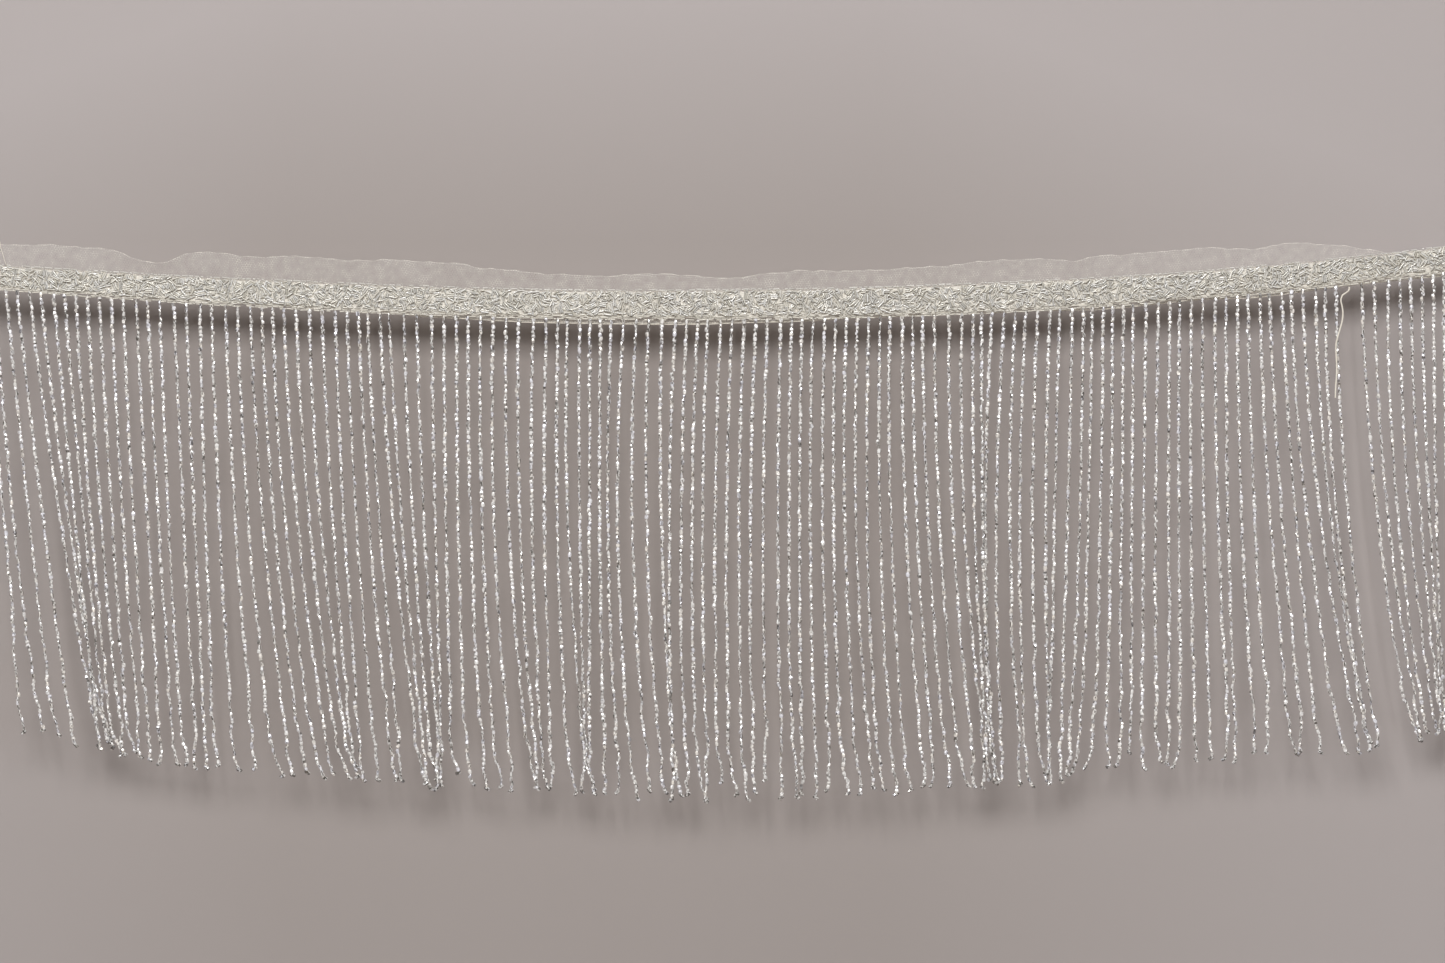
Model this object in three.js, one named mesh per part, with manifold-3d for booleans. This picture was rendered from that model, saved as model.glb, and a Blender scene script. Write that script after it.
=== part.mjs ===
// Beaded fringe trim, a cut length hanging in a shallow swag.
// A strip of fine net is folded round at the bottom and carries a band of bugle beads.
// Strands of cut glass beads hang from the band's lower edge.
// Millimetres, +Z up, the beaded face towards -Y. The origin is on the flat back,
// at the net's cut top edge, half way along the trim.
import * as THREE from 'three';
import Module from 'manifold-3d';
import { mergeVertices } from 'three/addons/utils/BufferGeometryUtils.js';

const wasm = await Module();
wasm.setup();

// Driving dimensions of the trim
const trimLength = 744;
const headingDrop = 20.4;      // cut top edge to the band's lower edge, at the low point
const lowPointAt = -16;        // where the swag is lowest
const leftReach = 345;         // from the low point to where the left rise is measured
const leftRise = 15;
const rightReach = 378;
const rightRise = 23.5;
const spans = 80;              // sections along the heading

// Depths of the layers, forward from the flat back
const netThickness = 1;
const netGap = 0.4;
const clearance = 0.3;
const netFront = 2 * netThickness + netGap;
const bandBack = netFront + clearance;
const bandGround = 4.3;
const bandCrown = 4.6;
const unevenness = 0.25;       // of the crown between the two rows
const rowFront = 4.9;
const rowHeight = 1.5;         // a bugle bead's thickness
const rowRound = 0.4;          // a row's outer edges are rounded off by this much
const rowShoulder = 0.3;       // and its inner edge by this much
const rowFoot = 0.5;           // the ground meets a row this far inside it

// Folds of the net
const foldRound = 0.6;
const backLeafShort = 4;       // the back leaf stops this far below the band's top
const leanBelow = 2;           // the front leaf is free from this far below the band's top
const leanShare = 0.65;        // share of its free height over which it leans

// Root tape, tucked behind the lowest bugle row
const tapeFront = 3.6;
const tapeAbove = 1.7;
const tapeBelow = 1.6;
const rootGap = 0.4;           // from the lowest bugle row to a strand's top

// Bead strands
const strandWidth = 1.9;
const strandDepthAt = 3.9;     // depth of a strand's centre
const depthScatter = 0.2;
const strandParts = 7;
const lanes = [0, 1, -1];      // neighbouring strands hang in three planes in turn
const laneStep = 3;            // from one plane to the next
const laneSpread = 3.2;        // how soon a strand reaches its plane below the root
const laneBend = 1.2;
const sameLanePitch = 3;       // least distance between two strands in one plane
const missingStrand = 115;
const rootScatter = 0.6;       // how unevenly the strands are spaced
const lengthScatter = 2.2;
const shortBy = 8;             // about one strand in fourteen has lost a few beads
const shortAbove = 0.86;
const stray = 1.6;             // how far an end strays from its tress
const kinkAtRoot = 0.2;
const kinkAtEnd = 1.1;

// Height of the beaded band
const bandHeights = [
  { at: -372, height: 12.2 },
  { at: -300, height: 13.2 },
  { at: -200, height: 14.2 },
  { at: -80, height: 14.4 },
  { at: 10, height: 15 },
  { at: 140, height: 15 },
  { at: 230, height: 14.2 },
  { at: 372, height: 13.2 },
];

// Folded hem of the net, showing below the band
const hems = [
  { at: -372, shows: -0.6 },
  { at: -180, shows: -0.4 },
  { at: -145, shows: 1.8 },
  { at: -90, shows: 3.1 },
  { at: -20, shows: 3.2 },
  { at: 25, shows: 2.3 },
  { at: 75, shows: 0.9 },
  { at: 150, shows: 0.9 },
  { at: 190, shows: 2.2 },
  { at: 238, shows: 1 },
  { at: 266, shows: 2.5 },
  { at: 315, shows: 1.3 },
  { at: 372, shows: 2.2 },
];

// Cut top edge of the net: how far it stands above the band, and how far it curls forward
const cutEdge = [
  { at: -372, rise: 9, curl: 0 },
  { at: -356, rise: 10, curl: 0.6 },
  { at: -335, rise: 11, curl: -0.3 },
  { at: -308, rise: 10.6, curl: 0.4 },
  { at: -298, rise: 8, curl: 1.5 },
  { at: -282, rise: 4.4, curl: 3.4 },
  { at: -272, rise: 9.8, curl: 1 },
  { at: -261, rise: 12, curl: 0 },
  { at: -232, rise: 10.5, curl: 0.6 },
  { at: -212, rise: 11.8, curl: 0 },
  { at: -186, rise: 10.8, curl: 0.8 },
  { at: -168, rise: 12, curl: 0 },
  { at: -134, rise: 11.4, curl: 0.5 },
  { at: -118, rise: 9.2, curl: 1.2 },
  { at: -82, rise: 7, curl: 0.4 },
  { at: -62, rise: 6.4, curl: 0.8 },
  { at: -33, rise: 7.7, curl: 0 },
  { at: -9, rise: 6, curl: 0 },
  { at: 7, rise: 4.8, curl: 0.6 },
  { at: 14, rise: 6.8, curl: 0 },
  { at: 40, rise: 8.4, curl: 0.6 },
  { at: 68, rise: 7.8, curl: 0 },
  { at: 104, rise: 8.6, curl: 0.8 },
  { at: 138, rise: 10.5, curl: 0 },
  { at: 162, rise: 10, curl: 0.4 },
  { at: 177, rise: 8.2, curl: 1.2 },
  { at: 185, rise: 10.2, curl: 0 },
  { at: 238, rise: 10.7, curl: 0.6 },
  { at: 270, rise: 8, curl: 0 },
  { at: 283, rise: 9.7, curl: 0.6 },
  { at: 307, rise: 6.1, curl: 0.3 },
  { at: 328, rise: 1.4, curl: 0 },
  { at: 336, rise: -1, curl: 0 },
  { at: 372, rise: -1, curl: 0 },
];

// Slow wave of the whole heading, forward from the flat middle
const waves = [
  { at: -372, out: 2.2 },
  { at: -290, out: -1 },
  { at: -200, out: 1.6 },
  { at: -115, out: -1 },
  { at: -40, out: 0 },
  { at: 40, out: 0 },
  { at: 120, out: 1.4 },
  { at: 215, out: -1 },
  { at: 300, out: 1.8 },
  { at: 372, out: -0.6 },
];

// Where the strands are rooted: the places between which their spacing is even
const roots = [
  { strand: -2, at: -369.5 },
  { strand: 0, at: -357.8 },
  { strand: 7, at: -317.8 },
  { strand: 12, at: -287.8 },
  { strand: 20, at: -236.2 },
  { strand: 25, at: -207.2 },
  { strand: 27, at: -193.2 },
  { strand: 32, at: -166.2 },
  { strand: 35, at: -145.8 },
  { strand: 40, at: -114.8 },
  { strand: 44, at: -88.2 },
  { strand: 50, at: -55.8 },
  { strand: 55, at: -23.8 },
  { strand: 60, at: 4.2 },
  { strand: 64, at: 28.8 },
  { strand: 78, at: 105.8 },
  { strand: 80, at: 119.8 },
  { strand: 84, at: 140.2 },
  { strand: 91, at: 180.2 },
  { strand: 95, at: 200.2 },
  { strand: 100, at: 229.2 },
  { strand: 114, at: 306.8 },
  { strand: 116, at: 319.8 },
  { strand: 118, at: 332.8 },
  { strand: 124, at: 366.5 },
];

// Length of the strands
const lengths = [
  { at: -372, length: 222 },
  { at: -325, length: 228 },
  { at: -275, length: 232 },
  { at: -100, length: 235 },
  { at: -20, length: 238 },
  { at: 150, length: 235 },
  { at: 200, length: 231 },
  { at: 280, length: 229 },
  { at: 372, length: 225 },
];

// Lean of each tress of strands, to the right, half way down and at the ends
const halfwayDrop = 120;
const endDrop = 232;
const tresses = [
  { at: -370, halfway: 11, end: 19 },
  { at: -364, halfway: 9.5, end: 25.5 },
  { at: -358, halfway: 13, end: 26 },
  { at: -346, halfway: 16.5, end: 37 },
  { at: -334, halfway: 12, end: 25 },
  { at: -322, halfway: 8, end: 18 },
  { at: -305, halfway: 6, end: 13 },
  { at: -275, halfway: 5.5, end: 11.5 },
  { at: -262, halfway: 3.5, end: 8 },
  { at: -245, halfway: 6.5, end: 17 },
  { at: -219, halfway: 8, end: 23 },
  { at: -188, halfway: 5.5, end: 14 },
  { at: -171, halfway: 8, end: 19 },
  { at: -153, halfway: 4.5, end: 12 },
  { at: -140, halfway: 1, end: 3 },
  { at: -111, halfway: 2, end: 12 },
  { at: -84, halfway: -0.5, end: 4 },
  { at: -78, halfway: 1, end: 10 },
  { at: -66, halfway: 0, end: 0.5 },
  { at: -49, halfway: -2.5, end: 5 },
  { at: -31, halfway: 0.5, end: 8 },
  { at: -24, halfway: -3, end: 0 },
  { at: 4, halfway: -2.5, end: 0.5 },
  { at: 39, halfway: -1.5, end: 0 },
  { at: 67, halfway: -0.5, end: 6 },
  { at: 101, halfway: 3.5, end: 12 },
  { at: 120, halfway: 2, end: 12 },
  { at: 131, halfway: 1, end: 5.5 },
  { at: 136, halfway: -4, end: -0.5 },
  { at: 152, halfway: -2.5, end: 2 },
  { at: 180, halfway: -2.5, end: -7.5 },
  { at: 200, halfway: -0.5, end: -1.5 },
  { at: 218, halfway: -1.5, end: -2 },
  { at: 250, halfway: 1.5, end: 7 },
  { at: 278, halfway: 7.5, end: 20 },
  { at: 290, halfway: 10, end: 31 },
  { at: 302, halfway: 6.5, end: 22 },
  { at: 320, halfway: 9, end: 27 },
  { at: 333, halfway: 5, end: 21 },
  { at: 343, halfway: 5.5, end: 19 },
  { at: 355, halfway: 2, end: 6 },
  { at: 372, halfway: 1, end: 3 },
];

// Loose thread where a strand is missing: its route, with depth forward from the back
const threadWidth = 0.8;
const threadSteps = 30;
const threadSides = 8;
const threadRoute = [
  { x: 313.2, depth: 4.4, z: -4.6 },
  { x: 313, depth: 4.6, z: -6 },
  { x: 311.6, depth: 5.6, z: -7.4 },
  { x: 309.6, depth: 6.3, z: -8.8 },
  { x: 308.8, depth: 6.5, z: -11 },
  { x: 309.4, depth: 6.5, z: -14.4 },
  { x: 309.8, depth: 6.4, z: -18 },
  { x: 309.4, depth: 6.4, z: -21.6 },
  { x: 308.4, depth: 6.5, z: -25.4 },
  { x: 307.2, depth: 6.6, z: -29.4 },
  { x: 306.3, depth: 6.6, z: -33.6 },
  { x: 306.4, depth: 6.5, z: -38.4 },
  { x: 306.7, depth: 6.4, z: -43.6 },
  { x: 306.6, depth: 6.4, z: -49 },
  { x: 306.2, depth: 6.5, z: -54.4 },
  { x: 306, depth: 6.5, z: -60 },
];

// One column of a table at a place along the trim, eased from row to row
function along(rows, column, place, key = 'at') {
  const next = rows.findIndex((row) => row[key] >= place);
  if (next < 1) {
    return rows[next === 0 ? 0 : rows.length - 1][column];
  }
  const before = rows[next - 1];
  const after = rows[next];
  const part = (place - before[key]) / (after[key] - before[key]);
  const eased = part * part * (3 - 2 * part);
  return before[column] + (after[column] - before[column]) * eased;
}

// A repeatable scatter from -1 to 1, with a series of its own for each kind of unevenness
const kinds = { crown: 1, root: 2, short: 3, length: 4, stray: 5, kink: 10, depth: 30 };
function scatter(number, kind) {
  const wild = Math.sin(number * 12.9898 + kind * 78.233) * 43758.5453;
  return 2 * (wild - Math.floor(wild)) - 1;
}

// Height of the band's lower edge along the swag
function bandBottom(x) {
  const left = leftRise / leftReach ** 2;
  const right = rightRise / rightReach ** 2;
  const bow = (left * rightReach + right * leftReach) / (leftReach + rightReach);
  const skew = (right - left) / (leftReach + rightReach);
  const reach = x - lowPointAt;
  return bow * reach ** 2 + skew * reach ** 3 - headingDrop;
}

function bandTop(x) {
  return bandBottom(x) + along(bandHeights, 'height', x);
}

// A closed body skinned over equal rings of points, its two ends capped
function skin(rings, flatten) {
  const size = rings[0].length;
  const positions = rings.flat().flatMap((point) => [point.x, point.y, point.z]);
  const faces = [];
  for (let ring = 0; ring + 1 < rings.length; ring += 1) {
    for (let corner = 0; corner < size; corner += 1) {
      const here = ring * size + corner;
      const beside = ring * size + (corner + 1) % size;
      faces.push(here, here + size, beside, beside, here + size, beside + size);
    }
  }
  const caps = THREE.ShapeUtils.triangulateShape(rings[0].map(flatten), []);
  const last = (rings.length - 1) * size;
  for (const [a, b, c] of caps) {
    faces.push(a, b, c, last + c, last + b, last + a);
  }
  const geometry = new THREE.BufferGeometry();
  geometry.setAttribute('position', new THREE.Float32BufferAttribute(positions, 3));
  geometry.setIndex(faces);
  return geometry;
}

// A body along the trim, from a section given as depths and heights at each place
function lengthwise(sectionAt) {
  const rings = [];
  for (let span = 0; span <= spans; span += 1) {
    const x = (span / spans - 0.5) * trimLength;
    const out = along(waves, 'out', x);
    rings.push(sectionAt(x).map(([depth, z]) => new THREE.Vector3(x, -(depth + out), z)));
  }
  return skin(rings, (point) => new THREE.Vector2(-point.y, point.z));
}

// The net strip: front leaf up to the cut edge, folded round at the bottom, short back leaf
function netSection(x) {
  const top = bandTop(x) + along(cutEdge, 'rise', x);
  const fold = bandBottom(x) - along(hems, 'shows', x);
  const bend = top - leanShare * (top - bandTop(x) + leanBelow);
  const backLeafTop = bandTop(x) - backLeafShort;
  const curl = along(cutEdge, 'curl', x);
  const inside = netThickness + netGap;
  return [
    [foldRound, fold],
    [netFront - foldRound, fold],
    [netFront, fold + foldRound],
    [netFront, bend],
    [netFront + curl, top],
    [inside + curl, top],
    [inside, bend],
    [inside, fold + netThickness],
    [netThickness, fold + netThickness],
    [netThickness, backLeafTop],
    [0, backLeafTop],
    [0, fold + foldRound],
  ];
}

// The beaded band: a bugle row along each edge, an uneven crowned ground between them,
// and a rebate behind the lower row for the root tape
function bandSection(x) {
  const low = bandBottom(x);
  const high = bandTop(x);
  const rough = unevenness * scatter(Math.round(x), kinds.crown);
  const rebate = tapeAbove + clearance;
  return [
    [tapeFront + clearance, low],
    [rowFront - rowRound, low],
    [rowFront, low + rowRound],
    [rowFront, low + rowHeight - rowShoulder],
    [bandGround, low + rowHeight + rowFoot],
    [bandCrown + rough, (low + high) / 2],
    [bandGround, high - rowHeight - rowFoot],
    [rowFront, high - rowHeight + rowShoulder],
    [rowFront, high - rowRound],
    [rowFront - rowRound, high],
    [bandBack, high],
    [bandBack, low + rebate],
    [tapeFront + clearance, low + rebate],
  ];
}

// The tape that the strands are rooted in
function tapeSection(x) {
  const low = bandBottom(x) - tapeBelow;
  const high = bandBottom(x) + tapeAbove;
  return [[bandBack, low], [tapeFront, low], [tapeFront, high], [bandBack, high]];
}

// Where every strand passes at each of its knots, from its root to its end
const strandNumbers = [];
for (let number = roots[0].strand; number <= roots.at(-1).strand; number += 1) {
  if (number !== missingStrand) {
    strandNumbers.push(number);
  }
}

function rootPlace(number) {
  const next = Math.max(1, roots.findIndex((row) => row.strand >= number));
  const before = roots[next - 1];
  const after = roots[next];
  const part = (number - before.strand) / (after.strand - before.strand);
  return before.at + (after.at - before.at) * part + rootScatter * scatter(number, kinds.root);
}

function strandKnots(number) {
  const root = rootPlace(number);
  const short = scatter(number, kinds.short) > shortAbove ? shortBy : 0;
  const uneven = lengthScatter * scatter(number, kinds.length);
  const length = along(lengths, 'length', root) + uneven - short;
  const halfway = along(tresses, 'halfway', root);
  const end = along(tresses, 'end', root);
  const curve = (end / endDrop - halfway / halfwayDrop) / (endDrop - halfwayDrop);
  const slope = halfway / halfwayDrop - curve * halfwayDrop;
  const lane = lanes[(number + lanes.length) % lanes.length];
  const knots = [];
  for (let knot = 0; knot <= strandParts; knot += 1) {
    const part = knot / strandParts;
    const drop = length * part;
    const astray = stray * part ** 2 * scatter(number, kinds.stray);
    const lean = slope * drop + curve * drop ** 2 + astray;
    const kink = (kinkAtRoot + (kinkAtEnd - kinkAtRoot) * part ** 3) * part;
    const away = Math.min(1, laneSpread * part ** laneBend);
    const rough = depthScatter * scatter(number, kinds.depth + knot);
    knots.push({
      x: root + lean + kink * scatter(number, kinds.kink + knot),
      depth: strandDepthAt + away * (lane * laneStep + rough),
      drop,
    });
  }
  return { number, root, knots };
}

// Strands that hang in one plane are kept from touching
const strands = strandNumbers.map(strandKnots);
strands.forEach((strand, place) => {
  if (place < lanes.length) {
    return;
  }
  const beside = strands[place - lanes.length];
  strand.knots.forEach((knot, level) => {
    knot.x = Math.max(knot.x, beside.knots[level].x + sameLanePitch);
  });
});

function strandBody({ root, knots }) {
  const half = strandWidth / 2;
  const top = bandBottom(root) - rootGap;
  const out = along(waves, 'out', root);
  const rings = knots.map(({ x, depth, drop }) => {
    const y = -(depth + out);
    const z = top - drop;
    return [
      new THREE.Vector3(x - half, y - half, z),
      new THREE.Vector3(x + half, y - half, z),
      new THREE.Vector3(x + half, y + half, z),
      new THREE.Vector3(x - half, y + half, z),
    ];
  });
  return skin(rings, (point) => new THREE.Vector2(point.x, point.y));
}

// A solid for joining, and a geometry back from the joined solid
function solidOf(geometry) {
  const merged = mergeVertices(geometry);
  const mesh = new wasm.Mesh({
    numProp: 3,
    vertProperties: merged.attributes.position.array,
    triVerts: new Uint32Array(merged.index.array),
  });
  return new wasm.Manifold(mesh);
}

function geometryOf(solid) {
  const mesh = solid.getMesh();
  const geometry = new THREE.BufferGeometry();
  geometry.setAttribute('position', new THREE.Float32BufferAttribute(mesh.vertProperties, 3));
  geometry.setIndex(Array.from(mesh.triVerts));
  return geometry;
}

function fringeGeometry() {
  let joined = solidOf(lengthwise(tapeSection));
  for (const strand of strands) {
    joined = joined.add(solidOf(strandBody(strand)));
  }
  return geometryOf(joined);
}

// The loose thread
function threadGeometry() {
  const section = new THREE.Shape();
  for (let side = 0; side < threadSides; side += 1) {
    const angle = (side * 2 * Math.PI) / threadSides;
    const x = (threadWidth / 2) * Math.cos(angle);
    const y = (threadWidth / 2) * Math.sin(angle);
    if (side === 0) {
      section.moveTo(x, y);
    } else {
      section.lineTo(x, y);
    }
  }
  const points = threadRoute.map(({ x, depth, z }) => {
    return new THREE.Vector3(x, -(depth + along(waves, 'out', x)), z);
  });
  const path = new THREE.CatmullRomCurve3(points);
  return new THREE.ExtrudeGeometry(section, { steps: threadSteps, extrudePath: path });
}

function piece(name, geometry, color, roughness) {
  const material = new THREE.MeshStandardMaterial({ color, roughness, metalness: 0 });
  const mesh = new THREE.Mesh(geometry, material);
  mesh.name = name;
  return mesh;
}

const trim = new THREE.Group();
trim.add(piece('net_strip', lengthwise(netSection), 0xd9d5cf, 0.9));
trim.add(piece('bead_band', lengthwise(bandSection), 0xc9c5b8, 0.3));
trim.add(piece('bead_fringe', fringeGeometry(), 0xdcdedd, 0.15));
trim.add(piece('loose_thread', threadGeometry(), 0xe8e3d6, 0.8));

export default trim;
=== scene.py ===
import bpy
import bmesh
import math
import numpy as np
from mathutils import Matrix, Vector


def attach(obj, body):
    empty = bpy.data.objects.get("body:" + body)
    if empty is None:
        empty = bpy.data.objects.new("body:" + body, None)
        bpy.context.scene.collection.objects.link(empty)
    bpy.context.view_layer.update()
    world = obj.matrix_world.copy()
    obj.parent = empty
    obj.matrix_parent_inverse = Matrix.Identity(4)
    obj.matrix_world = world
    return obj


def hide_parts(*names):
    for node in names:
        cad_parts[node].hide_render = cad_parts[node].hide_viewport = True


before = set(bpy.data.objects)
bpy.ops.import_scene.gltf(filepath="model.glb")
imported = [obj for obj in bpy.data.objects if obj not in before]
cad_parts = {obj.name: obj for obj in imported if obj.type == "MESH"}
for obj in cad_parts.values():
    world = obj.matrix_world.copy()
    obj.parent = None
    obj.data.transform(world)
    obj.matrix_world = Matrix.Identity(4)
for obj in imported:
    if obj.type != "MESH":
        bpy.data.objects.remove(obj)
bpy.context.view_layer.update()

# The view
# The camera looks straight at the hanging trim, from far enough away that little converges.
# Its frame is 722.5 mm wide where the strands hang, and the trim runs out of it at both sides.
frame_width = 0.7225
frame_middle = (0.0, -0.10175)
strands_plane = -0.004
camera_distance = 3.0
bpy.ops.object.camera_add(
    location=(frame_middle[0], strands_plane - camera_distance, frame_middle[1]),
    rotation=(math.pi / 2, 0, 0),
)
camera = bpy.context.object
camera.data.lens = camera.data.sensor_width * camera_distance / frame_width
bpy.context.scene.camera = camera
bpy.context.scene.view_settings.view_transform = "Standard"

# The loose thread
# A three-ply sewing thread hangs free where one strand of beads has come off, and ends in a cut
# tip. It starts at the band's lowest row and comes round to the front. Like every piece it
# follows the heading's waves, with its depths counted forward from the heading's flat back.
thread_diameter = 0.0008
thread_length = 0.060
thread_route = [               # place along the trim, depth, height
    (0.3132, 0.0044, -0.0046),
    (0.3130, 0.0046, -0.0060),
    (0.3116, 0.0056, -0.0074),
    (0.3096, 0.0063, -0.0088),
    (0.3088, 0.0065, -0.0110),
    (0.3094, 0.0065, -0.0144),
    (0.3098, 0.0064, -0.0180),
    (0.3094, 0.0064, -0.0216),
    (0.3084, 0.0065, -0.0254),
    (0.3072, 0.0066, -0.0294),
    (0.3063, 0.0066, -0.0336),
    (0.3064, 0.0065, -0.0384),
    (0.3067, 0.0064, -0.0436),
    (0.3066, 0.0064, -0.0490),
    (0.3062, 0.0065, -0.0544),
    (0.3060, 0.0065, -0.0600),
]
thread_plies = 3
ply_turn = 0.0016              # one turn of the plies every 1.6 mm
ply_groove = 0.16              # groove between two plies, as a share of the radius
ply_mean = 0.64                # mean of the plies' wave, which keeps the thread at its diameter
thread_rings = 260
thread_sides = 12
band_back = 0.0027


def stations(node):
    """A CAD node's corners at each of its sections along the trim."""
    corners = np.array([vertex.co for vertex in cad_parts[node].data.vertices])
    sections = np.round(corners[:, 0], 5)
    return [(x, corners[sections == x]) for x in np.unique(sections)]


band_sections = stations("bead_band")
places = np.array([x for x, corners in band_sections])
wave = np.array([-corners[:, 1].max() - band_back for x, corners in band_sections])


def smooth(knots, points, wanted):
    """A smooth curve through points that lie at the given knots, at the wanted places."""
    slopes = np.gradient(points, knots, axis=0)
    before = np.clip(np.searchsorted(knots, wanted) - 1, 0, len(knots) - 2)
    gap = knots[before + 1] - knots[before]
    part = (wanted - knots[before]) / gap
    if points.ndim > 1:
        gap = gap[:, None]
        part = part[:, None]
    start = points[before] * (1 + 2 * part) * (1 - part) ** 2
    end = points[before + 1] * (3 - 2 * part) * part ** 2
    leaving = slopes[before] * gap * part * (1 - part) ** 2
    arriving = slopes[before + 1] * gap * (part - 1) * part ** 2
    return start + end + leaving + arriving


def line_at(heights, x):
    """One of the heading's lines at places along the trim."""
    return smooth(places, heights, np.asarray(x, float))


def spaced(points, count):
    """A smooth line through points, as evenly spaced points."""
    steps = np.linalg.norm(np.diff(points, axis=0), axis=1)
    knots = np.concatenate([[0], np.cumsum(steps)])
    fine = smooth(knots, points, np.linspace(0, knots[-1], count * 4))
    reach = np.concatenate([[0], np.cumsum(np.linalg.norm(np.diff(fine, axis=0), axis=1))])
    even = np.linspace(0, reach[-1], count)
    return np.column_stack([np.interp(even, reach, fine[:, axis]) for axis in range(3)])


def directions(line):
    """At each point of a line: the way it runs, and two ways across it."""
    ahead = np.gradient(line, axis=0)
    ahead /= np.linalg.norm(ahead, axis=1)[:, None]
    side = np.cross(ahead, [0, 1, 0])
    side /= np.linalg.norm(side, axis=1)[:, None]
    return ahead, side, np.cross(side, ahead)


def tube(line, radii, sides, first=0):
    """A closed tube along a line; radii holds a radius for every ring and side."""
    ahead, side, front = directions(line)
    turn = np.linspace(0, 2 * math.pi, sides, endpoint=False)
    across = side[:, None] * np.cos(turn)[:, None] + front[:, None] * np.sin(turn)[:, None]
    points = (line[:, None] + across * radii[:, :, None]).reshape(-1, 3)
    faces = []
    for ring in range(len(line) - 1):
        for corner in range(sides):
            here = first + ring * sides + corner
            beside = first + ring * sides + (corner + 1) % sides
            faces.append((here, beside, beside + sides, here + sides))
    faces.append(range(first + sides - 1, first - 1, -1))
    last = first + (len(line) - 1) * sides
    faces.append(range(last, last + sides))
    return points, faces


def add_piece(name, points, faces, finish, replaced):
    """A finished mesh that stands for a CAD node and hangs with the trim."""
    mesh = bpy.data.meshes.new(name)
    mesh.from_pydata(np.asarray(points).tolist(), [], [list(face) for face in faces])
    mesh.update()
    piece = bpy.data.objects.new(name, mesh)
    bpy.context.scene.collection.objects.link(piece)
    mesh.materials.append(finish.material)
    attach(piece, "root")
    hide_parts(replaced)
    return piece


class Value:
    """A socket's value in a material; arithmetic on it adds Math nodes."""

    def __init__(self, finish, made, output):
        self.finish = finish
        self.made = made
        self.socket = made.outputs[output] if len(made.outputs) else None

    def part(self, output):
        return Value(self.finish, self.made, output)

    def maths(self, operation, *numbers):
        return self.finish.node("Math", {"operation": operation}, dict(enumerate(numbers)))

    def cosine(self):
        return self.maths("COSINE", self)

    def __abs__(self):
        return self.maths("ABSOLUTE", self)

    def __add__(self, other):
        return self.maths("ADD", self, other)

    def __mul__(self, other):
        return self.maths("MULTIPLY", self, other)

    __radd__ = __add__
    __rmul__ = __mul__


class Finish:
    """A procedural material, built up node by node."""

    def __init__(self, name):
        self.material = bpy.data.materials.new(name)
        self.material.use_nodes = True
        self.tree = self.material.node_tree
        self.tree.nodes.clear()

    def node(self, kind, settings=None, inputs=None, output=0):
        made = self.tree.nodes.new("ShaderNode" + kind)
        for key, value in (settings or {}).items():
            setattr(made, key, value)
        for key, value in (inputs or {}).items():
            if isinstance(value, Value):
                self.tree.links.new(value.socket, made.inputs[key])
            else:
                made.inputs[key].default_value = value
        return Value(self, made, output)

    def place(self):
        """Object coordinates."""
        return self.node("TexCoord", output=3)

    def mix(self, factor, first, second, blend="MIX"):
        settings = {"data_type": "RGBA", "blend_type": blend}
        return self.node("Mix", settings, {0: factor, 6: first, 7: second}, output=2)

    def noise(self, scale, detail=2.0, where=None):
        inputs = {"Vector": where or self.place(), "Scale": scale, "Detail": detail}
        return self.node("TexNoise", {}, inputs)

    def ramp(self, value, low, high, first=0.0, second=1.0):
        """Runs from first to second while the value goes from low to high, and no further."""
        limits = {0: value, 1: low, 2: high, 3: first, 4: second}
        return self.node("MapRange", {"clamp": True}, limits)

    def bump(self, height, distance):
        return self.node("Bump", {}, {"Height": height, "Distance": distance})

    def surface(self, inputs):
        shader = self.node("BsdfPrincipled", {}, inputs)
        self.node("OutputMaterial", {}, {"Surface": shader})


def colour(red, green, blue):
    """A shader colour from its 0 to 255 values on a screen."""
    shares = [part / 255 for part in (red, green, blue)]
    linear = [((share + 0.055) / 1.055) ** 2.4 for share in shares]
    return (*linear, 1.0)


thread_finish = Finish("ivory_sewing_thread")
fibres = thread_finish.noise(9000.0, 3.0)
thread_colour = thread_finish.mix(fibres, colour(214, 207, 192), colour(244, 239, 228))
thread_finish.surface({
    "Base Color": thread_colour,
    "Roughness": 0.62,
    "Sheen Weight": 0.3,
    "Normal": thread_finish.bump(fibres, 0.00008),
})

thread_knots = np.array([
    (x, -(depth + line_at(wave, [x])[0]), z) for x, depth, z in thread_route
])
thread_line = spaced(thread_knots, thread_rings)
ply_angle = np.linspace(0, 2 * math.pi * thread_length / ply_turn, thread_rings)[:, None]
around = np.linspace(0, 2 * math.pi, thread_sides, endpoint=False)[None, :]
plies = np.abs(np.cos(thread_plies * (around + ply_angle) / 2))
ply_wave = 1 + ply_groove * (plies - ply_mean)
thread_points, thread_faces = tube(thread_line, thread_diameter / 2 * ply_wave, thread_sides)
loose_end = add_piece(
    "loose_thread_end", thread_points, thread_faces, thread_finish, "loose_thread"
)
loose_end.data.shade_smooth()

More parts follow.
